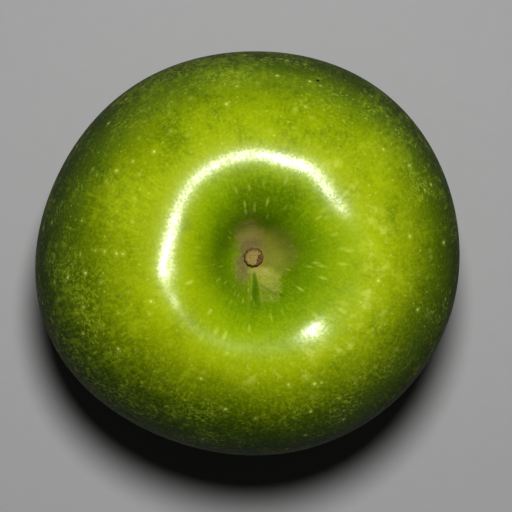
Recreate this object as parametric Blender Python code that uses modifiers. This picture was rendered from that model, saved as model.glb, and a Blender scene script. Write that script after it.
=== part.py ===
"""A whole green apple that stands on its five feet, with the broken stub of its stalk.

Three solids: the fruit (skin and flesh in one piece, with the stalk cavity on top and
the calyx basin below), the stub of the stalk, and the dried calyx with its five sepals.
Metres, +Z up, +X along the widest way. The origin is on the floor, under the middle.
"""

import math

import bmesh
import bpy
import numpy as np
from mathutils import Vector

# ---------------------------------------------------------------- driving dimensions

CHEEK_RADIUS = 0.0372  # mean radius at the widest height
HEIGHT = 0.066  # floor to the crest round the stalk cavity
GAP = 0.0003  # clearance between neighbouring solids

# The half section, from the bottom of the stalk pit over the crest and the cheek to the
# middle of the calyx basin: (share of CHEEK_RADIUS, share of HEIGHT).
HALF_SECTION = (
    (0.000, 0.812),  # floor of the stalk pit
    (0.055, 0.8165),
    (0.115, 0.850),  # wall of the stalk cavity
    (0.200, 0.925),
    (0.325, 0.985),  # inner side of the crest
    (0.445, 1.000),  # crest
    (0.570, 0.985),  # outer side of the crest
    (0.700, 0.945),  # shoulder
    (0.900, 0.815),
    (1.000, 0.555),  # widest
    (0.935, 0.290),
    (0.740, 0.090),
    (0.560, 0.018),
    (0.420, 0.000),  # foot
    (0.290, 0.022),  # rim of the calyx basin
    (0.170, 0.075),
    (0.060, 0.112),
    (0.000, 0.115),  # floor of the calyx basin
)
CREST_SHARE = 0.445  # where the crest is, and how far its unevenness reaches
CREST_REACH = 0.22
WIDEST_SHARE = 0.555
FOOT_SHARE = 0.42
FOOT_REACH = 0.25
EVEN_SHARE = 0.7  # inside this radius the outline fades to a circle

# Unevenness round the fruit: (waves in one turn, amount, azimuth of one top in degrees).
OUTLINE_WAVES = ((2, 0.026, 13.0), (3, 0.010, -46.0), (4, 0.0055, 29.0), (5, 0.0047, -17.0))
CREST_RISE = (
    (1, 0.00079, -137.5),
    (2, 0.00069, 39.5),
    (3, 0.00011, -4.0),
    (4, 0.00005, 8.0),
    (5, 0.00006, -9.0),
)
CREST_SPREAD = ((1, 0.0008, -19.0), (2, 0.0004, -45.5), (3, 0.00056, -11.0))

# The core grew at a slant: these are its lean to +X and to +Y in degrees, and where it
# passes the widest height.
CORE_LEAN = (3.3, -2.5)
CORE_AT = (0.00038, -0.00012)

FEET = 5
FOOT_AZIMUTH = 55.0
FOOT_HOLLOW = 0.0012  # how far the skin rises between two feet
FOOT_FLAT = 0.00025  # how far a foot is pressed flat
BASIN_RIB = 0.0006  # depth of the folds that run from the calyx out between the feet

STALK_RADIUS = 0.00155  # at the broken end
STALK_WAIST = 0.00125  # where it leaves the flesh
STALK_LENGTH = 0.0023
STALK_BREAK = 0.0006  # how far the broken end slants across the stub
STALK_SIDES = 20

SEPALS = 5
SEPAL_LENGTH = 0.0058
CALYX_RADIUS = 0.0021  # the cup that the sepals grow from
CALYX_HEIGHT = 0.0034
SEPAL_THICKNESS = 0.00045

FRUIT_SEGMENTS = 72
FRUIT_RINGS = 48
RING_CROWDING = 0.6  # rings lie this share closer at the stalk pit and the calyx
CALYX_SEGMENTS = 60
CALYX_RINGS = 7


# ---------------------------------------------------------------- form of the fruit


def section_spline(points):
    """A smooth curve through the points, level at both ends, as a function of 0 to 1."""
    size = np.array((CHEEK_RADIUS, HEIGHT))
    points = np.array(points) * size
    lengths = np.hypot(*np.diff(points, axis=0).T)
    knots = np.concatenate(((0.0,), np.cumsum(lengths))) / lengths.sum()
    steps = np.diff(knots)
    slopes = np.diff(points, axis=0) / steps[:, None]
    level = np.array((1.0, 0.0))
    ends = np.vstack((slopes[0] * level, slopes, slopes[-1] * level))
    count = len(points)
    matrix = np.zeros((count, count))
    for i in range(count):
        before = steps[i - 1] if i > 0 else 0.0
        after = steps[i] if i < count - 1 else 0.0
        matrix[i, i] = 2.0 * (before + after)
        if i > 0:
            matrix[i, i - 1] = before
        if i < count - 1:
            matrix[i, i + 1] = after
    bends = np.linalg.solve(matrix, 6.0 * np.diff(ends, axis=0))

    def at(share):
        i = min(max(int(np.searchsorted(knots, share, side="right")) - 1, 0), count - 2)
        step = steps[i]
        to_end = knots[i + 1] - share
        from_start = share - knots[i]
        curved = (bends[i] * to_end**3 + bends[i + 1] * from_start**3) / (6.0 * step)
        start = (points[i] / step - bends[i] * step / 6.0) * to_end
        end = (points[i + 1] / step - bends[i + 1] * step / 6.0) * from_start
        return curved + start + end

    return at


def waves(terms, azimuth):
    """The sum of the cosine waves at this azimuth, in radians."""
    return sum(a * math.cos(n * (azimuth - math.radians(top))) for n, a, top in terms)


def ease(value):
    """0 to 1, with level ends."""
    value = min(max(value, 0.0), 1.0)
    return value * value * (3.0 - 2.0 * value)


def hump(value, middle, reach):
    """1 at the middle, falling off smoothly on both sides."""
    return math.exp(-(((value - middle) / reach) ** 2))


def core_at(height):
    """Where the slanting core line passes this height."""
    rise = height - WIDEST_SHARE * HEIGHT
    x = CORE_AT[0] + rise * math.tan(math.radians(CORE_LEAN[0]))
    y = CORE_AT[1] + rise * math.tan(math.radians(CORE_LEAN[1]))
    return Vector((x, y, height))


def foot_wave(azimuth):
    """0 at the middle of each foot, 1 half way between two feet."""
    return (1.0 - math.cos(FEET * (azimuth - math.radians(FOOT_AZIMUTH)))) / 2.0


def skin_point(section, share, azimuth):
    """The point of the skin at this share of the half section and this azimuth."""
    radius, height = section(share)
    out = radius / CHEEK_RADIUS
    radius *= 1.0 + ease(out / EVEN_SHARE) * waves(OUTLINE_WAVES, azimuth)
    if height > WIDEST_SHARE * HEIGHT:
        near_crest = hump(out, CREST_SHARE, CREST_REACH)
        radius += near_crest * waves(CREST_SPREAD, azimuth)
        height += near_crest * waves(CREST_RISE, azimuth)
    else:
        near_foot = hump(out, FOOT_SHARE, FOOT_REACH)
        fold = hump(out, FOOT_SHARE / 2.0, FOOT_REACH / 2.0)
        height += near_foot * (FOOT_HOLLOW * foot_wave(azimuth) - FOOT_FLAT)
        height -= fold * BASIN_RIB * foot_wave(azimuth)
        height = max(height, 0.0)
    around = Vector((radius * math.cos(azimuth), radius * math.sin(azimuth), 0.0))
    return core_at(height) + around


# ---------------------------------------------------------------- Blender objects


def clear_scene():
    for obj in list(bpy.data.objects):
        bpy.data.objects.remove(obj)


def material(name, color, roughness):
    made = bpy.data.materials.new(name)
    made.use_nodes = True
    shader = made.node_tree.nodes["Principled BSDF"]
    shader.inputs["Base Color"].default_value = (*color, 1.0)
    shader.inputs["Roughness"].default_value = roughness
    shader.inputs["Metallic"].default_value = 0.0
    return made


def add_object(name, form, finish, collection):
    """A new object from the bmesh, with its faces turned outwards."""
    bmesh.ops.recalc_face_normals(form, faces=form.faces)
    mesh = bpy.data.meshes.new(name)
    form.to_mesh(mesh)
    form.free()
    mesh.shade_smooth()
    mesh.materials.append(finish)
    made = bpy.data.objects.new(name, mesh)
    collection.objects.link(made)
    return made


def make_fruit(collection):
    """A sphere whose every vertex goes to its place on the skin."""
    section = section_spline(HALF_SECTION)
    form = bmesh.new()
    bmesh.ops.create_uvsphere(
        form, u_segments=FRUIT_SEGMENTS, v_segments=FRUIT_RINGS, radius=1.0
    )
    for vertex in form.verts:
        polar = math.acos(min(max(vertex.co.z, -1.0), 1.0))
        share = (polar - RING_CROWDING * math.sin(2.0 * polar) / 2.0) / math.pi
        azimuth = math.atan2(vertex.co.y, vertex.co.x)
        vertex.co = skin_point(section, share, azimuth)
    finish = material("green_skin", (0.31, 0.46, 0.01), 0.32)
    return add_object("fruit", form, finish, collection)


def make_stalk(collection):
    """The stub: a round stick, thinnest where it leaves the flesh, broken off aslant."""
    foot = HALF_SECTION[1][1] * HEIGHT  # GAP above the middle of the pit
    form = bmesh.new()
    bmesh.ops.create_cone(
        form,
        cap_ends=True,
        segments=STALK_SIDES,
        radius1=STALK_WAIST,
        radius2=STALK_RADIUS,
        depth=STALK_LENGTH,
    )
    lengthwise = [e for e in form.edges if abs(e.verts[0].co.z - e.verts[1].co.z) > GAP]
    bmesh.ops.subdivide_edges(form, edges=lengthwise, cuts=5, use_grid_fill=True)
    for vertex in form.verts:
        x, y, z = vertex.co
        up = z / STALK_LENGTH + 0.5
        azimuth = math.atan2(y, x)
        swell = 1.0 + 0.10 * up * math.cos(2.0 * azimuth) - 0.14 * math.sin(up * math.pi)
        vertex.co = Vector((x * swell, y * swell, up * STALK_LENGTH))
        vertex.co.z -= ease(up) * STALK_BREAK * (0.5 + x / STALK_RADIUS / 2.0)
        middle = core_at(foot + vertex.co.z)
        vertex.co = Vector((vertex.co.x, vertex.co.y, 0.0)) + middle
    finish = material("stalk_wood", (0.30, 0.20, 0.08), 0.75)
    return add_object("stalk", form, finish, collection)


def calyx_point(out, azimuth):
    """A point of the calyx sheet, below its seat: a cup, then sepals that curl back."""
    lobe = abs(math.cos(SEPALS * azimuth / 2.0))
    reach = CALYX_RADIUS + (SEPAL_LENGTH - CALYX_RADIUS) * lobe**1.5
    radius = out * reach
    past_cup = ease((radius - 0.5 * CALYX_RADIUS) / CALYX_RADIUS)
    curl = ease((radius - 0.55 * SEPAL_LENGTH) / (0.45 * SEPAL_LENGTH))
    drop = CALYX_HEIGHT * past_cup * (1.0 - 0.45 * curl)
    bend = 1.0 - 0.22 * ease(radius / SEPAL_LENGTH)
    return Vector((bend * radius * math.cos(azimuth), bend * radius * math.sin(azimuth), -drop))


def make_calyx(collection):
    """A turned sheet drawn out into five sepals, thickened into one solid."""
    seat = HALF_SECTION[-1][1] * HEIGHT - GAP - SEPAL_THICKNESS / 2.0
    form = bmesh.new()
    spoke = [form.verts.new((i / CALYX_RINGS, 0.0, 0.0)) for i in range(CALYX_RINGS + 1)]
    line = [form.edges.new(pair) for pair in zip(spoke, spoke[1:])]
    bmesh.ops.spin(
        form,
        geom=spoke + line,
        axis=(0.0, 0.0, 1.0),
        angle=math.tau,
        steps=CALYX_SEGMENTS,
        use_merge=True,
    )
    bmesh.ops.remove_doubles(form, verts=form.verts, dist=1.0e-5)
    for vertex in form.verts:
        azimuth = math.atan2(vertex.co.y, vertex.co.x)
        vertex.co = calyx_point(vertex.co.length, azimuth)
        height = seat + vertex.co.z
        vertex.co.z = 0.0
        vertex.co += core_at(height)
    finish = material("dried_calyx", (0.16, 0.13, 0.06), 0.85)
    made = add_object("calyx", form, finish, collection)
    solid = made.modifiers.new("thickness", "SOLIDIFY")
    solid.thickness = SEPAL_THICKNESS
    solid.offset = 0.0
    return made


def main():
    clear_scene()
    collection = bpy.data.collections.new("green_apple")
    bpy.context.scene.collection.children.link(collection)
    make_fruit(collection)
    make_stalk(collection)
    make_calyx(collection)


main()
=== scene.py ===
"""A whole green apple with the broken stub of its stalk, finished in detail round its frame.

The skin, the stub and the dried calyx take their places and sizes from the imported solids.
Metres, +Z up, +X along the widest way.
"""

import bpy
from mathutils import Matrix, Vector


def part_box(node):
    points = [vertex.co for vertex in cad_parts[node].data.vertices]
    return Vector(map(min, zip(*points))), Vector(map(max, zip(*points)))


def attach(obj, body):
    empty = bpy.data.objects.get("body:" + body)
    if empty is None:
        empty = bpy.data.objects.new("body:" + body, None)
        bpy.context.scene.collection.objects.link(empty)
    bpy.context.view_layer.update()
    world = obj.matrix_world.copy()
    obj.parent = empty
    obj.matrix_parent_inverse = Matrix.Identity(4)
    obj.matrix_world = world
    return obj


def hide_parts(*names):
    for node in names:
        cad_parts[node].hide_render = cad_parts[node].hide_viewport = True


bl_info = {
    "name": "Green Apple",
    "version": (1, 0, 0),
    "blender": (4, 5, 0),
    "location": "View3D > Sidebar > Apple",
    "description": "Adds a green apple with its stalk stub and dried calyx, and a plain stage",
    "category": "Object",
}

import math

import bmesh
import bpy
import numpy as np
from mathutils import Vector, noise

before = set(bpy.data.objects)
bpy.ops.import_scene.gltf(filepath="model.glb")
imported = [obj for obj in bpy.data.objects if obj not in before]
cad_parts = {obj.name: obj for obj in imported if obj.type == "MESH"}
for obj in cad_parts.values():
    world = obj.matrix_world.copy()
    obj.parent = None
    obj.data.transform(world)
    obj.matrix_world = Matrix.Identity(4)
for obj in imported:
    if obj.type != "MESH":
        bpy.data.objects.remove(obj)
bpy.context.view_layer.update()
FRUIT_LOW, FRUIT_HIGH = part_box("fruit")
STALK_LOW, STALK_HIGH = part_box("stalk")
CALYX_LOW, CALYX_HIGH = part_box("calyx")

MM = 0.001

# ---------------------------------------------------------------- form of the fruit

# Unevenness round the fruit: (waves in one turn, amount, azimuth of one top in degrees).
OUTLINE_WAVES = ((2, 0.026, 13.0), (3, 0.010, -46.0), (4, 0.0055, 29.0), (5, 0.0047, -17.0))
CREST_RISE = (
    (1, 0.00079, -137.5),
    (2, 0.00069, 39.5),
    (3, 0.00011, -4.0),
    (4, 0.00005, 8.0),
    (5, 0.00006, -9.0),
)
CREST_SPREAD = ((1, 0.0008, -19.0), (2, 0.0004, -45.5), (3, 0.00056, -11.0))


def waves(terms, azimuth):
    """The sum of the cosine waves at each azimuth, in radians."""
    return sum(a * np.cos(n * (azimuth - math.radians(top))) for n, a, top in terms)


TURN = np.linspace(0.0, math.tau, 721)
WIDE_SIDE = np.max(np.cos(TURN) * (1.0 + waves(OUTLINE_WAVES, TURN)))
FAR_SIDE = -np.min(np.cos(TURN) * (1.0 + waves(OUTLINE_WAVES, TURN)))
CHEEK_RADIUS = (FRUIT_HIGH.x - FRUIT_LOW.x) / (WIDE_SIDE + FAR_SIDE)
HEIGHT = FRUIT_HIGH.z - FRUIT_LOW.z - np.max(waves(CREST_RISE, TURN))

# The half section, from the bottom of the stalk pit over the crest and the cheek to the
# middle of the calyx basin: (share of CHEEK_RADIUS, share of HEIGHT).
HALF_SECTION = (
    (0.000, 0.824),  # floor of the stalk pit, which hides the foot of the stub
    (0.055, 0.8275),
    (0.115, 0.852),  # wall of the stalk cavity
    (0.200, 0.925),
    (0.325, 0.985),  # inner side of the crest
    (0.445, 1.000),  # crest
    (0.570, 0.985),  # outer side of the crest
    (0.700, 0.945),  # shoulder
    (0.900, 0.815),
    (1.000, 0.555),  # widest
    (0.935, 0.290),
    (0.740, 0.090),
    (0.560, 0.018),
    (0.420, 0.000),  # foot
    (0.290, 0.022),  # rim of the calyx basin
    (0.170, 0.075),
    (0.060, 0.112),
    (0.000, 0.115),  # floor of the calyx basin
)
CREST_SHARE = 0.445  # where the crest is, and how far its unevenness reaches
CREST_REACH = 0.22
WIDEST_SHARE = 0.555
FOOT_SHARE = 0.42
FOOT_REACH = 0.25
EVEN_SHARE = 0.7  # inside this radius the outline fades to a circle
RELIEF_SHARE = 0.6  # where the relief of the cavity ends, and over how much it fades
RELIEF_FADE = 0.3

# Low folds of the stalk cavity: (waves in one turn, millimetres, phase in radians).
CAVITY_FOLDS = ((5.0, 0.10, 0.6), (9.0, 0.06, 2.1), (17.0, 0.035, -1.2))
CAVITY_FOLD_SHARE = 0.17
CAVITY_FOLD_REACH = 0.10

# Places where the crest lies further out or in: (azimuth in degrees, half width, amount).
CREST_CORNERS = (
    (59.0, 13.0, 0.80 * MM),
    (33.0, 12.0, -0.35 * MM),
    (90.0, 20.0, 0.45 * MM),
    (133.0, 12.0, 0.20 * MM),
    (160.0, 20.0, -0.2 * MM),
)

# The top of the crest is a little flat, and flatter in places: (share of CHEEK_RADIUS,
# azimuth in degrees, half width, amount).
CREST_FLATS = (
    (0.43, 165.0, 22.0, 0.10 * MM),
    (0.41, 189.0, 15.0, 0.36 * MM),
    (0.42, -47.0, 16.0, 0.14 * MM),
    (0.45, 55.0, 20.0, 0.05 * MM),
)
FLAT_REACH = 0.08

CORE_LEAN = (math.tan(math.radians(3.3)), math.tan(math.radians(-2.5)))
CORE_AT = (0.38 * MM, -0.12 * MM)  # where the core line passes the widest height

FEET = 5
FOOT_AZIMUTH = math.radians(55.0)

SKIN_SEGMENTS = 384
SKIN_RINGS = 230
RING_CROWDING = 0.6  # rings lie this share closer at the stalk pit and the calyx
WELD = 1.0e-5  # points closer than this are one
SKIN_WELD = 1.0e-6  # the same for the seam and the poles of the skin

# Marks by the stub, as (across, up) from the core line: the furrow below it, and the thin
# fold that leaves the furrow to the right.
FURROW = ((0.1 * MM, -2.8 * MM), (0.1 * MM, -8.0 * MM))
FOLD = ((1.2 * MM, -4.7 * MM), (2.6 * MM, -5.7 * MM), (4.4 * MM, -6.2 * MM))

# Patches of color in the cavity, in millimetres: (middle from the core line, half widths).
# The first patch is painted shade high on the wall of the stalk cavity.
PAINTED_SHADE_PATCH = ((1.9, 9.8), (6.5, 5.5))
HALO_PATCH = ((2.4, 0.9), (5.3, 4.7))
WORN_PATCH = ((2.8, -4.0), (2.1, 2.4))
WORN_TAIL = ((2.3, -6.6), (1.9, 1.0))
RUSSET_ABOVE = ((-0.9, 2.7), (2.9, 5.5))
RUSSET_BESIDE = ((-1.9, -1.2), (2.0, 4.1))
LIP_PATCH = ((0.7, -2.3), (1.9, 0.8))

# Sides of the fruit where the skin differs, or where shade, light or sheen is painted on it, as
# azimuths in degrees.
NARROW_SIDE = 180.0  # the cavity's green reaches less far out
RAISED_SIDE = 118.0  # the cavity's green reaches further out
LOWERED_SIDE = 40.0
# The side away from the lamp, which is painted darker: painted shade.
PAINTED_SHADE_SIDE = 255.0
BLOOM_SIDE = 212.0
SCUFFED_SIDE = 230.0
PORE_SIDE = -12.0
# Where pale wisps of painted sheen lie outside the crest.
PAINTED_SHEEN_SIDE = -20.0
# The side where the russet on the pit wall gets the most painted light.
PAINTED_LIGHT_RUSSET_SIDE = 90.0
THIN_WAX_SIDE = 243.0
WORN_WAX_SIDE = 7.0
MATT_SIDE = -12.0

NICK_AT = (0.330, math.radians(70.1))  # share of the half section, and azimuth


def ease(value):
    """0 to 1, with level ends."""
    value = np.clip(value, 0.0, 1.0)
    return value * value * (3.0 - 2.0 * value)


def hump(value, middle, reach):
    """1 at the middle, falling off smoothly on both sides."""
    return np.exp(-(((value - middle) / reach) ** 2))


def section_spline(points):
    """A smooth curve through the points, level at both ends, for an array of 0 to 1."""
    points = np.array(points) * (CHEEK_RADIUS, HEIGHT)
    lengths = np.hypot(*np.diff(points, axis=0).T)
    knots = np.concatenate(((0.0,), np.cumsum(lengths))) / lengths.sum()
    steps = np.diff(knots)
    slopes = np.diff(points, axis=0) / steps[:, None]
    level = np.array((1.0, 0.0))
    ends = np.vstack((slopes[0] * level, slopes, slopes[-1] * level))
    count = len(points)
    matrix = np.zeros((count, count))
    for i in range(count):
        before = steps[i - 1] if i > 0 else 0.0
        after = steps[i] if i < count - 1 else 0.0
        matrix[i, i] = 2.0 * (before + after)
        if i > 0:
            matrix[i, i - 1] = before
        if i < count - 1:
            matrix[i, i + 1] = after
    bends = np.linalg.solve(matrix, 6.0 * np.diff(ends, axis=0))

    def at(shares):
        i = np.clip(np.searchsorted(knots, shares, side="right") - 1, 0, count - 2)
        step = steps[i][:, None]
        to_end = (knots[i + 1] - shares)[:, None]
        from_start = (shares - knots[i])[:, None]
        curved = (bends[i] * to_end**3 + bends[i + 1] * from_start**3) / (6.0 * step)
        start = (points[i] / step - bends[i] * step / 6.0) * to_end
        end = (points[i + 1] / step - bends[i + 1] * step / 6.0) * from_start
        return (curved + start + end).T

    return at


def core_at(height):
    """Where the slanting core line passes this height, as (x, y)."""
    rise = height - WIDEST_SHARE * HEIGHT
    return CORE_AT[0] + rise * CORE_LEAN[0], CORE_AT[1] + rise * CORE_LEAN[1]


def local(places, azimuth):
    """The sum of the amounts at their places round the fruit, fading to both sides."""
    total = 0.0
    for middle, half, amount in places:
        turn = np.mod(np.degrees(azimuth) - middle + 180.0, 360.0) - 180.0
        total = total + amount * hump(turn, 0.0, half)
    return total


def line_distance(x, y, start, end):
    """How far each point lies from the straight line between start and end."""
    along_x = end[0] - start[0]
    along_y = end[1] - start[1]
    length = math.hypot(along_x, along_y)
    share = ((x - start[0]) * along_x + (y - start[1]) * along_y) / length**2
    share = np.clip(share, 0.0, 1.0)
    return np.hypot(x - start[0] - share * along_x, y - start[1] - share * along_y)


def cavity_relief(across, up, azimuth, out, sizes):
    """What the folds, the furrow and the thin fold add to the height in the stalk cavity."""
    folds = sum(amount * np.cos(n * azimuth + phase) for n, amount, phase in CAVITY_FOLDS)
    folds = hump(out, CAVITY_FOLD_SHARE, CAVITY_FOLD_REACH) * folds
    furrow = np.exp(-((line_distance(across, up, *FURROW) / sizes.furrow_half) ** 2))
    thin = np.minimum(
        line_distance(across, up, FOLD[0], FOLD[1]), line_distance(across, up, FOLD[1], FOLD[2])
    )
    thin = np.exp(-((thin / sizes.fold_half) ** 2))
    return folds * MM - furrow * sizes.furrow_depth - thin * sizes.fold_depth


def skin_places(shares, azimuth, sizes):
    """The skin's points at these shares of the half section and these azimuths."""
    radius, height = section_spline(HALF_SECTION)(shares)
    out = radius / CHEEK_RADIUS
    radius = radius * (1.0 + ease(out / EVEN_SHARE) * waves(OUTLINE_WAVES, azimuth))
    above = height > WIDEST_SHARE * HEIGHT

    near_crest = hump(out, CREST_SHARE, CREST_REACH) * above
    radius = radius + near_crest * (waves(CREST_SPREAD, azimuth) + local(CREST_CORNERS, azimuth))
    height = height + near_crest * waves(CREST_RISE, azimuth)
    height = height - hump(out, CREST_SHARE, FLAT_REACH) * above * sizes.crest_flat
    for share, *place in CREST_FLATS:
        height = height - hump(out, share, FLAT_REACH) * above * local([place], azimuth)

    between_feet = (1.0 - np.cos(FEET * (azimuth - FOOT_AZIMUTH))) / 2.0
    near_foot = hump(out, FOOT_SHARE, FOOT_REACH) * ~above
    rib = hump(out, FOOT_SHARE / 2.0, FOOT_REACH / 2.0) * ~above
    height = height + near_foot * (sizes.foot_hollow * between_feet - sizes.foot_flat)
    height = np.maximum(height - rib * sizes.basin_rib * between_feet, 0.0)

    across = radius * np.cos(azimuth)
    up = radius * np.sin(azimuth)
    middle_x, middle_y = core_at(height)
    relief = cavity_relief(across, up, azimuth, out, sizes)
    height = height + relief * above * ease((RELIEF_SHARE - out) / RELIEF_FADE)
    return np.stack((middle_x + across, middle_y + up, height), axis=1)


# ---------------------------------------------------------------- shader maths


class Value:
    """A number or vector at one socket of a finish: sums on it add Math nodes."""

    def __init__(self, finish, socket):
        self.finish = finish
        self.socket = socket

    def math(self, operation, *values):
        return self.finish.node("ShaderNodeMath", {"operation": operation}, dict(enumerate(values)))

    def __add__(self, other):
        return self.math("ADD", self, other)

    __radd__ = __add__

    def __sub__(self, other):
        return self.math("SUBTRACT", self, other)

    def __rsub__(self, other):
        return self.math("SUBTRACT", other, self)

    def __mul__(self, other):
        return self.math("MULTIPLY", self, other)

    __rmul__ = __mul__

    def __truediv__(self, other):
        return self.math("DIVIDE", self, other)

    def __pow__(self, other):
        return self.math("POWER", self, other)


class Finish:
    """A material whose nodes are added by calls and by sums on their values."""

    def __init__(self, name, **constants):
        self.material = bpy.data.materials.new(name)
        self.material.use_nodes = True
        self.tree = self.material.node_tree
        self.shader = self.tree.nodes["Principled BSDF"]
        for socket, value in constants.items():
            self.shader.inputs[socket.replace("_", " ")].default_value = value

    def node(self, kind, settings=None, inputs=None, output=0):
        """Adds a node: its settings first, then the values or links of its sockets."""
        made = self.tree.nodes.new(kind)
        for name, value in (settings or {}).items():
            if name == "stops":
                self.set_stops(made.color_ramp, value)
            else:
                setattr(made, name, value)
        for socket, value in (inputs or {}).items():
            self.feed(made.inputs[socket], value)
        return Value(self, made.outputs[output])

    def set_stops(self, ramp, stops):
        while len(ramp.elements) < len(stops):
            ramp.elements.new(1.0)
        for element, (position, color) in zip(ramp.elements, stops):
            element.position = position
            element.color = (*color, 1.0)

    def feed(self, socket, value):
        if isinstance(value, Value):
            self.tree.links.new(value.socket, socket)
        elif socket.type == "RGBA":
            socket.default_value = (*value, 1.0)
        else:
            socket.default_value = value

    def set(self, **values):
        """Feeds the shader's own sockets."""
        for socket, value in values.items():
            self.feed(self.shader.inputs[socket.replace("_", " ")], value)

    def place(self):
        return self.node("ShaderNodeTexCoord", output="Object")

    def attribute(self, name):
        return self.node("ShaderNodeAttribute", {"attribute_name": name}, output="Fac")

    def parts(self, vector):
        split = self.node("ShaderNodeSeparateXYZ", inputs={0: vector}).socket.node
        return [Value(self, socket) for socket in split.outputs]

    def joined(self, x, y, z):
        return self.node("ShaderNodeCombineXYZ", inputs={0: x, 1: y, 2: z})

    def scaled(self, vector, factors):
        settings = {"operation": "MULTIPLY"}
        return self.node("ShaderNodeVectorMath", settings, {0: vector, 1: factors})

    def distance(self, start, end):
        settings = {"operation": "DISTANCE"}
        return self.node("ShaderNodeVectorMath", settings, {0: start, 1: end}, "Value")

    def root(self, value):
        return value.math("SQRT", value)

    def smaller(self, first, second):
        return first.math("MINIMUM", first, second)

    def larger(self, first, second):
        return first.math("MAXIMUM", first, second)

    def between(self, value, low, high):
        """0 below low and 1 above high, easing in between; low may be the larger."""
        rising = high > low
        ends = {1: min(low, high), 2: max(low, high), 3: 1.0 - rising, 4: 1.0 * rising}
        settings = {"interpolation_type": "SMOOTHSTEP"}
        return self.node("ShaderNodeMapRange", settings, {0: value, **ends})

    def mix(self, factor, first, second):
        """The first color where the factor is 0, the second where it is 1."""
        settings = {"data_type": "RGBA"}
        return self.node("ShaderNodeMix", settings, {0: factor, 6: first, 7: second}, 2)

    def ramp(self, value, stops):
        return self.node("ShaderNodeValToRGB", {"stops": stops}, {0: value})

    def noise(self, vector, scale, detail=2.0, roughness=0.5):
        inputs = {"Vector": vector, "Scale": scale, "Detail": detail, "Roughness": roughness}
        return self.node("ShaderNodeTexNoise", inputs=inputs)

    def cells(self, vector, scale):
        """(distance to the nearest seed, that seed's random number) on a field of seeds."""
        inputs = {"Vector": vector, "Scale": scale}
        near = self.node("ShaderNodeTexVoronoi", inputs=inputs, output="Distance")
        chance = Value(self, near.socket.node.outputs["Color"])
        return near, self.parts(chance)[0]

    def bump(self, height_mm):
        return self.node("ShaderNodeBump", inputs={"Distance": MM, "Height": height_mm})


# ---------------------------------------------------------------- finishes


class SkinFinish(Finish):
    """A finish with the places on the skin that its marks are drawn from."""

    def __init__(self, name, **constants):
        super().__init__(name, **constants)
        self.spot = self.place()
        self.share = self.attribute("share")
        x, y, z = self.parts(self.spot)
        rise = z - WIDEST_SHARE * HEIGHT
        self.across = x - CORE_AT[0] - rise * CORE_LEAN[0]
        self.up = y - CORE_AT[1] - rise * CORE_LEAN[1]
        self.reach = self.root(self.across * self.across + self.up * self.up)
        self.reach = self.reach + 0.01 * MM  # never 0, as it divides
        self.round_x = self.across / self.reach
        self.round_y = self.up / self.reach
        self.drift = self.noise(self.spot, 75.0, 2.0) - 0.5
        self.ragged = self.noise(self.spot, 420.0, 4.0, 0.65) - 0.5
        self.streaks = self.noise(self.spun(24.0, 14.0), 1.0, 3.0, 0.6) - 0.5
        self.fine = self.noise(self.spun(46.0, 46.0), 1.0, 3.0, 0.6) - 0.5
        self.mottle = self.noise(self.spot, 620.0, 3.0, 0.6) - 0.5

    def spun(self, round_scale, long_scale):
        """Coordinates for streaks that run from stalk to calyx."""
        return self.joined(
            self.round_x * round_scale, self.round_y * round_scale, self.share * long_scale
        )

    def toward(self, azimuth):
        """0 on the side away from this azimuth in degrees, 1 on the side that faces it."""
        turn = math.radians(azimuth)
        return (self.round_x * math.cos(turn) + self.round_y * math.sin(turn)) * 0.5 + 0.5

    def outward(self, low, high):
        return self.between(self.share, low, high)

    def patch(self, middle, half, ragged=0.9, within=(0.125, 0.10), full=0.55):
        """1 in the middle of an oval patch with a ragged edge, 0 outside it."""
        x = (self.across - middle[0] * MM) / (half[0] * MM)
        y = (self.up - middle[1] * MM) / (half[1] * MM)
        away = self.root(x * x + y * y) + self.ragged * ragged + self.streaks * 0.7
        return self.between(away, 1.15, full) * self.outward(*within)

    def line(self, points, half):
        """1 on a line through the points, 0 further than half from it."""
        nearest = None
        for start, end in zip(points, points[1:]):
            along = (end[0] - start[0], end[1] - start[1])
            length = math.hypot(*along)
            from_x = self.across - start[0]
            from_y = self.up - start[1]
            part = (from_x * (along[0] / length**2)) + (from_y * (along[1] / length**2))
            part = self.smaller(self.larger(part, 0.0), 1.0)
            off_x = from_x - part * along[0]
            off_y = from_y - part * along[1]
            gap = self.root(off_x * off_x + off_y * off_y)
            nearest = gap if nearest is None else self.smaller(nearest, gap)
        return self.between(nearest, half, 0.15 * half) * self.outward(0.125, 0.10)


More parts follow.
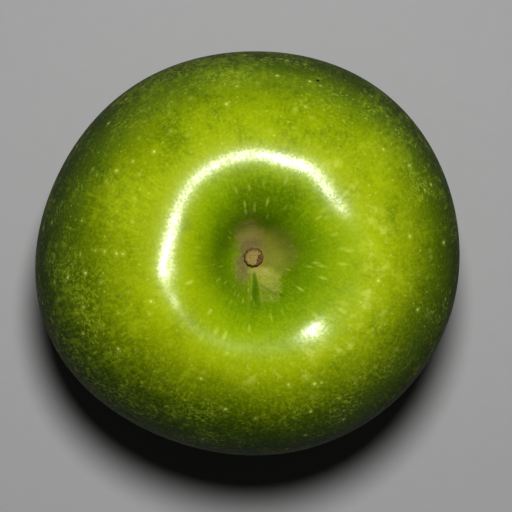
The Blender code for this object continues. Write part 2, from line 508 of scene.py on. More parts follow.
def skin_ground(finish, colors):
    """The zones from the stalk pit to the calyx, with drifts and streaks, and painted shade: darker
    towards the rim, on the side away from the lamp and high in the stalk cavity.
    """
    inside = finish.outward(0.24, 0.12)
    wander = finish.drift * 0.035 + finish.ragged * 0.016 + finish.streaks * 0.045 * inside
    reach_up = finish.round_y * finish.round_y * 0.023 + finish.round_y * 0.010
    reach_left = finish.toward(NARROW_SIDE) ** 2.0 * 0.030
    lift = finish.toward(RAISED_SIDE) ** 6.0 * 0.026 - finish.toward(LOWERED_SIDE) ** 8.0 * 0.012
    reach = (reach_up - reach_left) * inside + lift * finish.outward(0.24, 0.32)
    # From the crest out, the ramp grows darker through the cheek and the brow: painted shade for
    # the light falling off towards the rim.
    zones = finish.ramp(finish.share + wander - reach, (
        (0.000, colors.pit),
        (0.045, colors.cavity),
        (0.100, colors.cavity),
        (0.140, colors.crest_inside),
        (0.190, colors.crest),
        (0.250, colors.shoulder),
        (0.320, colors.cheek),
        (0.380, colors.brow_painted_shade),
        (0.460, colors.brow_painted_shade),
        (0.600, colors.waist),
        (0.780, colors.waist),
        (0.930, colors.basin),
        (1.000, colors.pit),
    ))
    outside = finish.outward(0.10, 0.20)
    # Painted shade: the side away from the lamp is painted darker from near the crest outwards,
    # about half as much lower down.
    painted_shade = finish.toward(PAINTED_SHADE_SIDE) ** 1.1 * finish.outward(0.165, 0.305)
    painted_shade = painted_shade * (finish.outward(0.68, 0.46) * 0.45 + 0.40)
    ground = finish.mix(painted_shade, zones, colors.painted_shade)
    # Painted shade: a darker patch high on the wall of the stalk cavity.
    cavity_painted_shade = finish.patch(*PAINTED_SHADE_PATCH, 0.8, (0.170, 0.135))
    ground = finish.mix(cavity_painted_shade * 0.50, ground, colors.cavity_painted_shade)
    patchy = finish.noise(finish.spot, 190.0, 2.0, 0.5) - 0.5
    dark = finish.drift * 0.9 + patchy * 1.2 + finish.mottle * 0.7 + finish.fine * 0.7
    weight = finish.outward(0.15, 0.33) * 0.42 + 0.32
    ground = finish.mix(finish.between(dark, -0.08, 0.52) * weight, ground, colors.deep)
    pale = finish.streaks * 0.4 + finish.fine * 0.7 - finish.drift - finish.mottle * 0.6
    weight = outside * 0.34 + finish.outward(0.19, 0.22) * finish.outward(0.29, 0.23) * 0.10
    ground = finish.mix(finish.between(pale, 0.02, 0.35) * weight, ground, colors.pale)
    grain = finish.between(finish.noise(finish.spot, 1700.0, 4.0, 0.8), 0.46, 0.60)
    weight = outside * 0.14 - finish.outward(0.22, 0.34) * 0.19 + 0.18
    return finish.mix(grain * weight, ground, colors.pale)


def skin_bloom(finish):
    """Where a pale bloom lies in small flecks, in patches on the cheeks."""
    where = finish.noise(finish.spot, 105.0, 4.0, 0.65)
    where = where + finish.toward(BLOOM_SIDE) ** 8.0 * 0.06
    where = finish.between(where, 0.47, 0.62) * finish.outward(0.20, 0.30)
    where = where * (finish.outward(0.62, 0.46) * 0.55 + 0.45)
    flecks = finish.between(finish.noise(finish.spot, 1500.0, 4.0, 0.8), 0.49, 0.61)
    scuffs = finish.noise(finish.spun(5.0, 95.0), 1.0, 3.0, 0.6)
    scuffs = finish.between(scuffs, 0.52, 0.75) * finish.toward(SCUFFED_SIDE)
    return finish.larger(flecks * (where * 0.66 + 0.02), scuffs * where * 0.35)


def skin_pores_and_painted_sheen(finish):
    """Long pores in the cavity, round and sparser ones further out, and wisps between them, which
    are painted sheen: pale streaks standing in for a rough reflection of the lamp just outside the
    crest.
    """
    near, chance = finish.cells(finish.spun(10.5, 40.0), 1.0)
    picked = finish.between(chance + finish.toward(PORE_SIDE) * 0.30, 0.50, 0.98)
    inside = finish.outward(0.030, 0.045) * finish.outward(0.20, 0.15)
    long_pores = finish.between(near, 0.42, 0.08) * picked * inside
    near, chance = finish.cells(finish.spot, 340.0)
    picked = finish.between(chance, 0.10, 0.70) * finish.outward(0.14, 0.21)
    dots = finish.larger(
        finish.between(near, 0.13, 0.05), finish.between(near, 0.30, 0.08) * 0.22
    )
    near, chance = finish.cells(finish.spot, 800.0)
    small = finish.between(near, 0.24, 0.08) * finish.between(chance, 0.25, 0.90)
    pores = finish.larger(dots * picked, small * finish.outward(0.14, 0.21) * 0.4)
    # Painted sheen: pale streaks just outside the crest, in place of a rough reflection of the
    # lamp.
    painted_sheen = finish.between(finish.noise(finish.spun(7.0, 42.0), 1.0, 4.0, 0.65), 0.50, 0.70)
    ring = finish.outward(0.160, 0.180) * finish.outward(0.240, 0.200)
    painted_sheen = painted_sheen * ring * finish.between(finish.toward(PAINTED_SHEEN_SIDE), 0.35, 0.75)
    return finish.larger(finish.larger(long_pores * 0.42, painted_sheen * 0.44), pores)


def skin_marks(finish, colors, sizes, ground):
    """(ground with the marks round the stub, how dull they leave it)."""
    speckle = finish.noise(finish.spot, 1500.0, 4.0, 0.75)
    # Painted light: the halo and the russet are painted paler up the sloping wall of the pit, the
    # russet most on its upper side, to lift the shade there.
    far = finish.between(finish.reach, 2.0 * MM, 4.6 * MM)
    painted_light_on_russet = far * (finish.toward(PAINTED_LIGHT_RUSSET_SIDE) * 0.75 + 0.25)
    halo = finish.patch(*HALO_PATCH, 1.0)
    ground = finish.mix(halo * 0.66, ground, finish.mix(far, colors.halo, colors.halo_painted_lit))
    worn = finish.patch(*WORN_PATCH, 1.3)
    tail = finish.patch(*WORN_TAIL, 1.1) * 0.45
    pale = finish.larger(worn, tail) * (finish.between(speckle, 0.42, 0.58) * 0.45 + 0.45)
    ground = finish.mix(pale, ground, colors.worn)
    flame = finish.larger(
        finish.patch(*RUSSET_ABOVE, 1.3, full=0.25),
        finish.patch(*RUSSET_BESIDE, 1.2, full=0.25),
    )
    speckled = finish.between(speckle, 0.40, 0.60)
    rust = finish.mix(painted_light_on_russet * 0.85 + speckled * 0.15, colors.rust, colors.rust_painted_lit)
    ground = finish.mix(flame * (speckled * -0.2 + 0.92), ground, rust)
    lip = finish.patch(*LIP_PATCH, 0.8)
    ground = finish.mix(lip * 0.55, ground, colors.lip)

    down = finish.up * -1.0
    spread = finish.between(down, 2.2 * MM, 8.5 * MM) * 0.42 * MM + 0.24 * MM
    off = finish.across - FURROW[0][0] + finish.drift * 1.6 * MM
    off = finish.root(off * off) / spread + finish.ragged * 0.5
    length = finish.between(down, 2.3 * MM, 3.0 * MM) * finish.between(down, 10.0 * MM, 5.0 * MM)
    furrow = finish.between(off, 1.9, 0.1) * length
    flanks = finish.between(off, 1.2, 1.6) * finish.between(off, 2.8, 1.9) * length
    fold = finish.line(FOLD, 0.42 * MM)
    ground = finish.mix(flanks * 0.30, ground, colors.worn)
    # Painted shade: the furrow and the thin fold are painted a deeper green.
    ground = finish.mix(finish.larger(furrow * 0.72, fold * 0.36), ground, colors.crease_painted_shade)

    nick = finish.between(finish.distance(finish.spot, nick_place(sizes)), 0.45 * MM, 0.2 * MM)
    ground = finish.mix(nick * 0.9, ground, colors.nick)
    dull = finish.larger(finish.larger(flame, lip), finish.larger(halo * 0.6, worn * 0.7))
    return ground, finish.larger(dull, nick)


def skin_finish(colors, sizes):
    """Waxy green skin: its zones from the stalk pit to the calyx, streaks, pores and russet, with
    painted shade, painted light on the pit wall and painted sheen outside the crest.
    """
    finish = SkinFinish(
        "waxy_green_skin",
        Specular_IOR_Level=0.15,
        Specular_Tint=(0.40, 0.40, 1.0, 1.0),  # thin wax scatters more blue than red
        Coat_Roughness=0.25,
        Coat_IOR=1.40,
    )
    ground = skin_ground(finish, colors)
    ground = finish.mix(skin_bloom(finish), ground, colors.bloom)
    # pores also holds the pale wisps of painted sheen, drawn in the pore color.
    pores = skin_pores_and_painted_sheen(finish)
    ground = finish.mix(pores, ground, colors.pore_and_painted_sheen)
    ground, dull = skin_marks(finish, colors, sizes, ground)

    waxy = finish.noise(finish.spot, 260.0, 2.0)
    sides = finish.outward(0.28, 0.42)
    matt = finish.between(finish.toward(MATT_SIDE), 0.86, 0.95) * (1.0 - sides)
    patches = finish.between(finish.mottle + finish.drift, -0.10, 0.12) * 0.25 + 0.72
    thin = finish.between(finish.toward(THIN_WAX_SIDE), 0.76, 0.86) * patches
    worn = finish.between(finish.toward(WORN_WAX_SIDE), 0.955, 0.985) * 0.9
    thin = finish.larger(thin, worn)
    sparkle = finish.between(finish.noise(finish.spot, 2000.0, 3.0, 0.7), 0.40, 0.60)
    uneven = finish.between(finish.mottle + finish.fine, -0.20, 0.10) * 0.3 + 0.7
    crest_wax = (1.0 - thin) * (sparkle * 0.6 + 0.4) * uneven * finish.outward(0.35, 0.26)
    wax = crest_wax + finish.outward(0.54, 0.66) * 0.5 + 0.05
    grain = finish.noise(finish.spot, 2400.0, 3.0, 0.65)
    relief = (
        grain * 0.016
        + finish.ragged * 0.03
        + finish.fine * 0.014
        + finish.noise(finish.spot, 1700.0, 4.0, 0.7) * dull * 0.10
        + pores * 0.012
    )
    finish.set(
        Base_Color=ground,
        Roughness=0.40 + waxy * 0.10 + sides * 0.15 + dull * 0.3 + matt * 0.22,
        Coat_Weight=finish.between(dull, 0.7, 0.1) * finish.outward(0.09, 0.16) * wax,
        Normal=finish.bump(relief),
    )
    return finish.material


def nick_place(sizes):
    """The middle of the small dark nick on the far shoulder."""
    share, azimuth = NICK_AT
    return tuple(skin_places(np.array((share,)), np.array((azimuth,)), sizes)[0])


def stub_finish(colors):
    """Grey-brown bark with fibres, and a torn end: pale pith, dark rind and a red-brown side."""
    finish = Finish("stalk_bark", Specular_IOR_Level=0.3)
    place = finish.place()
    end = finish.attribute("end")  # 0 on the bark, 1 on the torn end
    out = finish.attribute("out")  # 0 in the middle, 1 at the rind
    broken = finish.attribute("broken")
    fibre_place = finish.scaled(place, (3200.0, 3200.0, 500.0))
    fibres = finish.noise(fibre_place, 1.0, 4.0, 0.6)
    grain = finish.noise(place, 4200.0, 3.0, 0.6)
    bark = finish.mix(finish.between(fibres, 0.3, 0.7), colors.bark, colors.bark_pale)
    pith = finish.mix(finish.between(grain, 0.35, 0.65), colors.pith_dark, colors.pith)
    red = finish.mix(finish.between(grain, 0.4, 0.6), colors.broken_dark, colors.broken)
    face = finish.mix(finish.between(broken, 0.3, 0.7), pith, red)
    rind = finish.between(out + (grain - 0.5) * 0.25, 0.78, 0.98)
    face = finish.mix(rind * 0.8, face, colors.rind)
    near, chance = finish.cells(place, 2300.0)
    flecks = finish.between(near, 0.34, 0.14) * finish.between(chance, 0.70, 0.8)
    face = finish.mix(flecks * 0.6, face, colors.rind)
    finish.set(
        Base_Color=finish.mix(finish.between(end, 0.3, 0.7), bark, face),
        Roughness=0.72 + grain * 0.2,
        Normal=finish.bump(fibres * 0.08 + grain * 0.05),
    )
    return finish.material


def sepal_finish(colors):
    """Dry grey-brown felt, paler at the edges, with fine veins along each sepal."""
    finish = Finish("dried_sepal", Specular_IOR_Level=0.2)
    place = finish.place()
    tip = finish.attribute("tip")
    rib = finish.attribute("rib")
    felt = finish.noise(place, 2600.0, 4.0, 0.7)
    blotch = finish.noise(place, 500.0, 2.0, 0.5)
    ground = finish.mix(finish.between(blotch, 0.35, 0.65), colors.sepal, colors.sepal_green)
    ground = finish.mix(finish.between(tip, 0.45, 1.0) * 0.8, ground, colors.sepal_tip)
    ground = finish.mix(rib * 0.5, ground, colors.sepal_tip)
    ground = finish.mix(finish.between(felt, 0.5, 0.75) * 0.6, ground, colors.sepal_fuzz)
    finish.set(
        Base_Color=ground,
        Roughness=0.85 + felt * 0.1,
        Normal=finish.bump(felt * 0.12 + rib * 0.08),
    )
    return finish.material


def stamen_finish(colors):
    """Withered brown threads."""
    finish = Finish("withered_stamen", Specular_IOR_Level=0.2)
    grain = finish.noise(finish.place(), 3000.0, 3.0, 0.6)
    finish.set(
        Base_Color=finish.mix(grain, colors.sepal_tip, colors.bark_pale),
        Roughness=0.8 + grain * 0.15,
        Normal=finish.bump(grain * 0.05),
    )
    return finish.material


def floor_finish(colors):
    """Plain pale board with a hardly visible grain."""
    finish = Finish("pale_board", Specular_IOR_Level=0.15)
    grain = finish.noise(finish.place(), 300.0, 4.0, 0.6)
    lower = tuple(0.96 * part for part in colors.floor)
    finish.set(
        Base_Color=finish.mix(grain, lower, tuple(colors.floor)),
        Roughness=0.75 + grain * 0.1,
        Normal=finish.bump(grain * 0.01),
    )
    return finish.material


# ---------------------------------------------------------------- meshes


def turned_form(profile, steps):
    """A line of (radius, height) points turned round Z, in the profile's own units.

    It bends a grid, because a spin gives its faces another order of corners in each run.
    """
    form = bmesh.new()
    rows = len(profile) - 1
    bmesh.ops.create_grid(form, x_segments=steps, y_segments=rows, size=1.0)
    for vertex in form.verts:
        azimuth = math.pi * vertex.co.x
        radius, height = profile[round((vertex.co.y + 1.0) / 2.0 * rows)]
        vertex.co = (radius * math.cos(azimuth), radius * math.sin(azimuth), height)
    bmesh.ops.remove_doubles(form, verts=form.verts, dist=WELD)
    return form


def add_to_scene(name, data):
    made = bpy.data.objects.new(name, data)
    bpy.context.scene.collection.objects.link(made)
    return made


def add_piece(name, form, finish):
    """A new smooth-shaded piece from the bmesh, faces outwards, riding on the apple's body."""
    bmesh.ops.recalc_face_normals(form, faces=form.faces)
    mesh = bpy.data.meshes.new(name)
    form.to_mesh(mesh)
    form.free()
    mesh.shade_smooth()
    mesh.materials.append(finish)
    piece = add_to_scene(name, mesh)
    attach(piece, "root")
    return piece


def paint(mesh, marks):
    """Stores the named marks, a number for each vertex, for the finish to read."""
    for name, values in marks.items():
        layer = mesh.attributes.new(name, "FLOAT", "POINT")
        layer.data.foreach_set("value", np.asarray(values, dtype=np.float32))


def make_skin(colors, sizes):
    """A fine grid wrapped round the core: its rows run round the fruit, from pit to calyx."""
    form = bmesh.new()
    form.loops.layers.uv.new("OFBake")
    bmesh.ops.create_grid(
        form, x_segments=SKIN_SEGMENTS, y_segments=SKIN_RINGS, size=1.0, calc_uvs=True
    )
    share_layer = form.verts.layers.float.new("share")
    grid = np.array([vertex.co for vertex in form.verts])
    azimuth = grid[:, 0] * math.pi
    polar = (grid[:, 1] + 1.0) / 2.0 * math.pi
    shares = (polar - RING_CROWDING * np.sin(2.0 * polar) / 2.0) / math.pi
    places = skin_places(shares, azimuth, sizes)
    for pole in (shares.min(), shares.max()):
        row = shares == pole
        places[row] = places[row].mean(axis=0)
    for vertex, place, share in zip(form.verts, places, shares):
        vertex.co = place
        vertex[share_layer] = share
    bmesh.ops.remove_doubles(form, verts=form.verts, dist=SKIN_WELD)
    skin = add_piece("apple_skin", form, skin_finish(colors, sizes))
    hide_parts("fruit")
    return skin


STUB_SIDES = 96
STUB_RINGS = 26
STUB_END_RINGS = 16
STUB_FOOT = 1.0  # how wide it is at its foot and at its end
STUB_END = 0.88
STUB_TAPER = 0.35  # share of its height where it starts to narrow
STUB_BELOW_TOP = 0.15 * MM  # room for the rind that stands up at the end
END_SLANT = 0.22 * MM
END_ROUGHNESS = 0.07 * MM


def stub_profile():
    """From the middle of the hidden foot, up the bark, and in over the torn end."""
    bark = [(1.0, i / STUB_RINGS) for i in range(STUB_RINGS + 1)]
    end = [(1.0 - i / STUB_END_RINGS, 1.0) for i in range(1, STUB_END_RINGS + 1)]
    return [(0.0, 0.0), (0.5, 0.0)] + bark + end


def make_stub(colors, sizes):
    """The stub: ribbed bark, narrower towards a torn, slanting and uneven end."""
    foot = STALK_LOW.z - sizes.stub_sunk
    length = STALK_HIGH.z - foot - STUB_BELOW_TOP
    radius = STALK_HIGH.x - core_at(STALK_HIGH.z)[0]
    form = turned_form(stub_profile(), STUB_SIDES)
    marks = {"end": [], "out": [], "broken": []}
    for vertex in form.verts:
        x, y, up = vertex.co
        out = math.hypot(x, y)
        azimuth = math.atan2(y, x)
        on_end = up > 0.999 and out < 0.999
        ribs = 0.035 * math.sin(11.0 * azimuth + 2.0 * up) + 0.02 * math.sin(23.0 * azimuth - up)
        knobs = 0.05 * noise.noise(Vector((2.0 * x, 2.0 * y, 3.0 * up)))
        narrow = ease((up - STUB_TAPER) / (1.0 - STUB_TAPER))
        taper = STUB_FOOT + (STUB_END - STUB_FOOT) * narrow
        wide = taper * (1.0 + ribs + knobs + 0.05 * math.cos(2.0 * azimuth - 0.4))
        spread = radius * wide
        ragged = noise.noise(Vector((2.2 * x, 2.2 * y, 4.0)))
        broken = float(ease((x * 0.9 - y * 0.35 + 0.35 * ragged - 0.30) / 0.35))
        rough = noise.fractal(Vector((5.0 * x, 5.0 * y, 1.0)), 1.0, 2.0, 4)
        rind = math.exp(-(((out - 0.93) / 0.09) ** 2)) * (0.6 + 0.4 * ragged)
        torn = sizes.rind_rise * rind - sizes.break_drop * broken * min(1.0, 1.3 - 0.5 * out)
        torn += END_ROUGHNESS * rough - END_SLANT * (0.5 + 0.5 * x)
        height = foot + up * length + torn * float(ease((up - 0.75) / 0.25))
        middle = core_at(height)
        vertex.co = (spread * x + middle[0], spread * y + middle[1], min(height, STALK_HIGH.z))
        marks["end"].append(float(on_end))
        marks["out"].append(out)
        marks["broken"].append(broken)
    stub = add_piece("stalk_stub", form, stub_finish(colors))
    paint(stub.data, marks)
    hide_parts("stalk")
    return stub


SEPALS = 5
SEPAL_STEPS = 300
SEPAL_RINGS = 26
SEPAL_REACH = 1.3  # how long a flat sepal is against half the width of the curled ones
SEPAL_CUP = 0.36  # share of the reach that is the cup
SEPAL_WAVE = 0.10 * MM
SEPAL_RIB = 0.10 * MM


def sepal_place(out, azimuth, reach, seat):
    """A point of the calyx sheet: a cup, then sepals that curl back, with its rib mark."""
    lobe = abs(math.cos(SEPALS * azimuth / 2.0))
    cup = SEPAL_CUP * reach
    length = cup + (reach - cup) * lobe**1.5
    edge = Vector((3.0 * math.cos(azimuth), 3.0 * math.sin(azimuth), 0.3))
    length *= 1.0 + 0.05 * noise.noise(edge)
    radius = out * length
    depth = 0.95 * (seat - CALYX_LOW.z)
    past_cup = float(ease((radius - 0.5 * cup) / cup))
    curl = float(ease((radius - 0.55 * reach) / (0.45 * reach)))
    rib = math.exp(-(((1.0 - lobe) / 0.012) ** 2)) * float(ease((out - 0.3) / 0.2))
    wave = SEPAL_WAVE * math.sin(9.0 * azimuth + 14.0 * out) * out
    drop = depth * past_cup * (1.0 - 0.45 * curl) + wave + SEPAL_RIB * rib
    bend = 1.0 - 0.22 * float(ease(radius / reach))
    return bend * radius * math.cos(azimuth), bend * radius * math.sin(azimuth), drop, rib


def make_sepals(colors, sizes):
    """A turned sheet drawn out into five curling sepals, thickened into one body."""
    seat = CALYX_HIGH.z - sizes.sepal_thickness
    half_width = (CALYX_HIGH.x - CALYX_LOW.x + CALYX_HIGH.y - CALYX_LOW.y) / 4.0
    reach = half_width * SEPAL_REACH
    form = turned_form([(i / SEPAL_RINGS, 0.0) for i in range(SEPAL_RINGS + 1)], SEPAL_STEPS)
    marks = {"tip": [], "rib": []}
    for vertex in form.verts:
        out = vertex.co.length
        azimuth = math.atan2(vertex.co.y, vertex.co.x)
        x, y, drop, rib = sepal_place(out, azimuth, reach, seat)
        middle = core_at(seat - drop)
        vertex.co = (x + middle[0], y + middle[1], seat - drop)
        marks["tip"].append(out)
        marks["rib"].append(rib)
    sepals = add_piece("calyx_sepals", form, sepal_finish(colors))
    paint(sepals.data, marks)
    solid = sepals.modifiers.new("thickness", "SOLIDIFY")
    solid.thickness = sizes.sepal_thickness
    solid.offset = 0.0
    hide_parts("calyx")
    return sepals


STAMENS = 15
STAMEN_SIDES = 6
STAMEN_STEPS = 9
STAMEN_TURN = 0.382  # of a turn from one to the next
STAMEN_SEAT = 0.25 * MM  # below the top of the calyx
STAMEN_FIRST = 0.35 * MM  # how far from the middle they stand, the first and the last
STAMEN_LAST = 1.10 * MM


def add_thread(form, points, radii):
    """A closed tube through the points, in the bmesh."""
    rings = []
    for i, (point, radius) in enumerate(zip(points, radii)):
        ahead = points[min(i + 1, len(points) - 1)] - points[max(i - 1, 0)]
        side = ahead.cross(Vector((0.0, 1.0, 0.2))).normalized()
        other = ahead.cross(side).normalized()
        angles = [math.tau * k / STAMEN_SIDES for k in range(STAMEN_SIDES)]
        ring = [point + radius * (math.cos(a) * side + math.sin(a) * other) for a in angles]
        rings.append([form.verts.new(place) for place in ring])
    for low, high in zip(rings, rings[1:]):
        for k in range(STAMEN_SIDES):
            after = (k + 1) % STAMEN_SIDES
            form.faces.new((low[k], low[after], high[after], high[k]))
    form.faces.new(rings[0])
    form.faces.new(rings[-1])


def make_stamens(colors, sizes):
    """Withered stamens in the mouth of the calyx: bent threads with a small head each."""
    seat = CALYX_HIGH.z - STAMEN_SEAT
    middle = core_at(seat)
    form = bmesh.new()
    for i in range(STAMENS):
        turn = math.tau * i * STAMEN_TURN
        start = STAMEN_FIRST + (STAMEN_LAST - STAMEN_FIRST) * math.sqrt(i / STAMENS)
        length = sizes.stamen_length * (1.0 + 0.3 * math.sin(5.0 * i))
        lean = 0.25 + 0.3 * math.sin(3.0 * i + 1.0)
        points = []
        radii = []
        for k in range(STAMEN_STEPS):
            share = k / (STAMEN_STEPS - 1)
            radius = start + lean * length * share**2
            angle = turn + 0.7 * share * math.sin(7.0 * i)
            points.append(Vector((
                middle[0] + radius * math.cos(angle),
                middle[1] + radius * math.sin(angle),
                seat - length * share,
            )))
            head = float(hump(share, 0.95, 0.10))
            radii.append(sizes.stamen_radius * (1.0 - 0.45 * share + 1.1 * head))
        add_thread(form, points, radii)
    return add_piece("calyx_stamens", form, stamen_finish(colors))


# ---------------------------------------------------------------- stage


def make_floor(colors, size):
    form = bmesh.new()
    bmesh.ops.create_grid(form, x_segments=8, y_segments=8, size=size)
    mesh = bpy.data.meshes.new("stage_floor")
    form.to_mesh(mesh)
    form.free()
    mesh.materials.append(floor_finish(colors))
    floor = add_to_scene("stage_floor", mesh)
    floor.location.z = FRUIT_LOW.z
    return floor


def make_light(name, stage, aim):
    """A soft round lamp above the fruit, pointed at it."""
    lamp = bpy.data.lights.new(name, "AREA")
    lamp.shape = "DISK"
    lamp.size = stage.lamp_size
    lamp.energy = stage.lamp_power
    made = add_to_scene(name, lamp)
    made.location = aim + Vector((*stage.lamp_offset, stage.lamp_height))
    made.rotation_euler = (aim - made.location).to_track_quat("-Z", "Y").to_euler()
    return made


def make_world(stage):
    world = bpy.data.worlds.new("soft_room")
    world.use_nodes = True
    sky = world.node_tree.nodes["Background"]
    sky.inputs["Color"].default_value = (1.0, 1.0, 1.0, 1.0)
    sky.inputs["Strength"].default_value = stage.room_light
    bpy.context.scene.world = world


def make_camera(stage, aim):
    """Straight above the fruit, with image right along +X and image up along +Y."""
    data = bpy.data.cameras.new("camera")
    data.lens = stage.lens
    camera = add_to_scene("camera", data)
    camera.location = aim + Vector((*stage.camera_offset, stage.camera_height))
    bpy.context.scene.camera = camera


# ---------------------------------------------------------------- add-on


def color_property(name, description, default):
    return bpy.props.FloatVectorProperty(
        name=name, description=description, default=default, subtype="COLOR", min=0.0, max=1.0
    )


class AppleColors(bpy.types.PropertyGroup):
    """Colors of the apple and its stage."""

    pit: color_property("Pit", "Skin at the foot of the stub", (0.20, 0.22, 0.015))
    cavity: color_property("Cavity", "Skin in the stalk cavity", (0.165, 0.262, 0.001))
    crest_inside: color_property("Crest inside", "Skin inside the crest", (0.243, 0.335, 0.001))
    crest: color_property("Crest", "Skin on the crest", (0.31, 0.378, 0.0015))
    shoulder: color_property("Shoulder", "Skin on the shoulder", (0.275, 0.35, 0.0015))
    # The cheek and the brow are painted darker than the skin is: painted shade for the light
    # falling off towards the rim.
    cheek: color_property("Cheek", "Skin on the upper cheek", (0.125, 0.195, 0.0015))
    brow_painted_shade: color_property("Brow", "Skin above the waist", (0.045, 0.076, 0.001))
    waist: color_property("Waist", "Skin round the sides", (0.085, 0.140, 0.003))
    basin: color_property("Basin", "Skin in the calyx basin", (0.17, 0.25, 0.015))
    # Painted shade for the side away from the lamp.
    painted_shade: color_property("Shade", "The deeper skin of one side", (0.030, 0.058, 0.001))
    # Painted shade, high on the wall of the stalk cavity.
    cavity_painted_shade: color_property("Dusk", "The deepest part of the stalk cavity", (0.085, 0.145, 0.001))
    deep: color_property("Deep green", "The darker drifts in the skin", (0.078, 0.140, 0.002))
    pale: color_property("Pale green", "The paler streaks in the skin", (0.40, 0.50, 0.015))
    bloom: color_property("Bloom", "Pale flecks on the cheeks", (0.38, 0.47, 0.05))
    # Also the color of the painted sheen just outside the crest.
    pore_and_painted_sheen: color_property("Pore", "Pores in the skin", (0.55, 0.62, 0.14))
    rust: color_property("Russet", "Russet round the stub", (0.16, 0.126, 0.060))
    # Russet with painted light, for the pit wall.
    rust_painted_lit: color_property("Pale russet", "The paler part of the russet", (0.37, 0.30, 0.125))
    worn: color_property("Worn patch", "The worn patch beside the furrow", (0.365, 0.365, 0.098))
    halo: color_property("Halo", "The olive skin beside the stub", (0.21, 0.182, 0.056))
    # Halo with painted light, for the pit wall.
    halo_painted_lit: color_property("Pale halo", "Its outer part", (0.285, 0.27, 0.066))
    lip: color_property("Lip", "The pale skin under the stub", (0.345, 0.32, 0.10))
    # Painted shade in the furrow and the thin fold.
    crease_painted_shade: color_property("Crease", "The furrow and the thin fold", (0.075, 0.15, 0.001))
    nick: color_property("Nick", "The small nick on the shoulder", (0.02, 0.02, 0.01))
    bark: color_property("Bark", "Dark bark of the stub", (0.13, 0.085, 0.04))
    bark_pale: color_property("Pale bark", "Pale fibres of the bark", (0.27, 0.20, 0.09))
    pith: color_property("Pith", "The torn end", (0.30, 0.25, 0.095))
    pith_dark: color_property("Dark pith", "Fibres of the torn end", (0.215, 0.15, 0.045))
    rind: color_property("Rind", "The dark ring round the torn end", (0.13, 0.08, 0.04))
    broken: color_property("Broken side", "The broken side of the end", (0.19, 0.11, 0.055))
    broken_dark: color_property("Dark broken side", "Its darker parts", (0.09, 0.03, 0.014))
    sepal: color_property("Sepal", "The dried sepals", (0.13, 0.10, 0.05))
    sepal_green: color_property("Green sepal", "Their greener parts", (0.14, 0.14, 0.06))
    sepal_tip: color_property("Sepal tip", "Their dark tips and ribs", (0.06, 0.04, 0.02))
    sepal_fuzz: color_property("Sepal fuzz", "The pale fuzz on them", (0.30, 0.28, 0.19))
    floor: color_property("Floor", "The pale board of the stage", (0.40, 0.40, 0.40))


def length_property(name, description, default):
    return bpy.props.FloatProperty(
        name=name, description=description, default=default, unit="LENGTH", precision=5, min=0.0
    )


def offset_property(name, default):
    return bpy.props.FloatVectorProperty(
        name=name, description="To +X and +Y", default=default, size=2, unit="LENGTH"
    )


class AppleSizes(bpy.types.PropertyGroup):
    """Sizes of the details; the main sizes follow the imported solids."""

    crest_flat: length_property("Crest flat", "How much lower the top of the crest lies", 5.0e-5)
    furrow_half: length_property("Furrow half width", "Of the furrow below the stub", 5.5e-4)
    furrow_depth: length_property("Furrow depth", "Of the furrow below the stub", 1.4e-4)
    fold_half: length_property("Fold half width", "Of the thin fold beside it", 1.6e-4)
    fold_depth: length_property("Fold depth", "Of the thin fold beside it", 5.0e-5)
    foot_hollow: length_property("Foot hollow", "How far the skin rises between feet", 1.2e-3)
    foot_flat: length_property("Foot flat", "How much is worn off each foot", 2.5e-4)
    basin_rib: length_property("Basin rib", "Height of the ribs in the calyx basin", 6.0e-4)
    stub_sunk: length_property("Stub depth", "How far the stub goes below its solid", 5.0e-4)
    rind_rise: length_property("Rind rise", "How far the torn rind stands up", 1.0e-4)
    break_drop: length_property("Break drop", "How far the broken side lies lower", 3.2e-4)
    sepal_thickness: length_property("Sepal thickness", "Of the dried sepals", 2.2e-4)
    stamen_length: length_property("Stamen length", "Of the withered stamens", 1.7e-3)
    stamen_radius: length_property("Stamen radius", "Of the withered stamens", 1.1e-4)


class AppleStage(bpy.types.PropertyGroup):
    """Camera and light of the apple's stage."""

    floor_size: length_property("Floor size", "Half the floor's width", 2.0)
    lamp_size: length_property("Lamp size", "Width of the soft lamp", 0.078)
    lamp_height: length_property("Lamp height", "Above the widest height", 0.418)
    lamp_offset: offset_property("Lamp offset", (0.012, 0.0896))
    lamp_power: bpy.props.FloatProperty(
        name="Lamp power", description="Of the soft lamp", default=1.6, unit="POWER"
    )
    room_light: bpy.props.FloatProperty(
        name="Room light", description="Strength of the even light round the stage", default=0.03
    )
    camera_height: length_property("Camera height", "Above the widest height", 0.414)
    camera_offset: offset_property("Camera offset", (0.00185, -0.0007))
    lens: bpy.props.FloatProperty(
        name="Lens", description="Focal length", default=160.9, unit="CAMERA"
    )


class APPLE_OT_skin(bpy.types.Operator):
    """Adds the fruit's skin"""

    bl_idname = "apple.skin"
    bl_label = "Skin"

    def execute(self, context):
        make_skin(context.scene.apple_colors, context.scene.apple_sizes)
        return {"FINISHED"}


class APPLE_OT_stub(bpy.types.Operator):
    """Adds the broken stub of the stalk"""

    bl_idname = "apple.stub"
    bl_label = "Stalk stub"

    def execute(self, context):
        make_stub(context.scene.apple_colors, context.scene.apple_sizes)
        return {"FINISHED"}


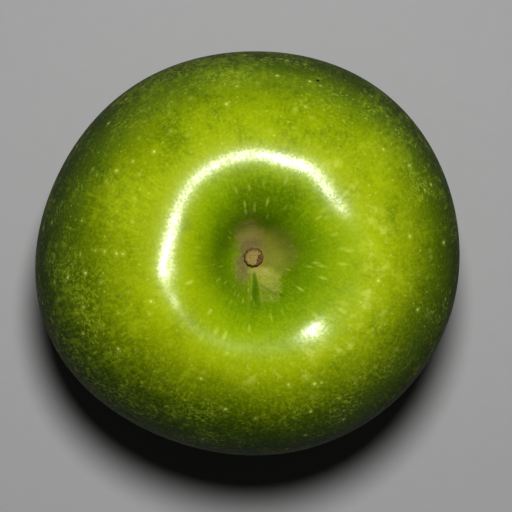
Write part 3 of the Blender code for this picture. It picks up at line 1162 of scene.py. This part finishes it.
class APPLE_OT_calyx(bpy.types.Operator):
    """Adds the dried sepals and the withered stamens"""

    bl_idname = "apple.calyx"
    bl_label = "Calyx"

    def execute(self, context):
        make_sepals(context.scene.apple_colors, context.scene.apple_sizes)
        make_stamens(context.scene.apple_colors, context.scene.apple_sizes)
        return {"FINISHED"}


class APPLE_OT_stage(bpy.types.Operator):
    """Adds the pale floor, the soft lamp, the room light and the camera"""

    bl_idname = "apple.stage"
    bl_label = "Stage"

    def execute(self, context):
        stage = context.scene.apple_stage
        aim = Vector((0.0, 0.0, WIDEST_SHARE * HEIGHT))
        make_floor(context.scene.apple_colors, stage.floor_size)
        make_light("soft_lamp", stage, aim)
        make_world(stage)
        make_camera(stage, aim)
        context.scene.view_settings.view_transform = "Standard"
        context.scene.view_settings.look = "High Contrast"
        return {"FINISHED"}


class APPLE_PT_panel(bpy.types.Panel):
    """The apple's pieces, sizes, colors and stage."""

    bl_label = "Green Apple"
    bl_idname = "APPLE_PT_panel"
    bl_space_type = "VIEW_3D"
    bl_region_type = "UI"
    bl_category = "Apple"

    def draw(self, context):
        layout = self.layout
        for operator in OPERATORS:
            layout.operator(operator.bl_idname)
        scene = context.scene
        for group in (scene.apple_sizes, scene.apple_colors, scene.apple_stage):
            box = layout.box()
            for name in group.__annotations__:
                box.prop(group, name)


OPERATORS = (APPLE_OT_skin, APPLE_OT_stub, APPLE_OT_calyx, APPLE_OT_stage)
CLASSES = (AppleSizes, AppleColors, AppleStage, *OPERATORS, APPLE_PT_panel)


def register():
    for cls in CLASSES:
        bpy.utils.register_class(cls)
    bpy.types.Scene.apple_sizes = bpy.props.PointerProperty(type=AppleSizes)
    bpy.types.Scene.apple_colors = bpy.props.PointerProperty(type=AppleColors)
    bpy.types.Scene.apple_stage = bpy.props.PointerProperty(type=AppleStage)


def unregister():
    del bpy.types.Scene.apple_stage
    del bpy.types.Scene.apple_colors
    del bpy.types.Scene.apple_sizes
    for cls in reversed(CLASSES):
        bpy.utils.unregister_class(cls)


def main():
    register()
    bpy.ops.apple.skin()
    bpy.ops.apple.stub()
    bpy.ops.apple.calyx()
    bpy.ops.apple.stage()


if __name__ == "__main__":
    main()
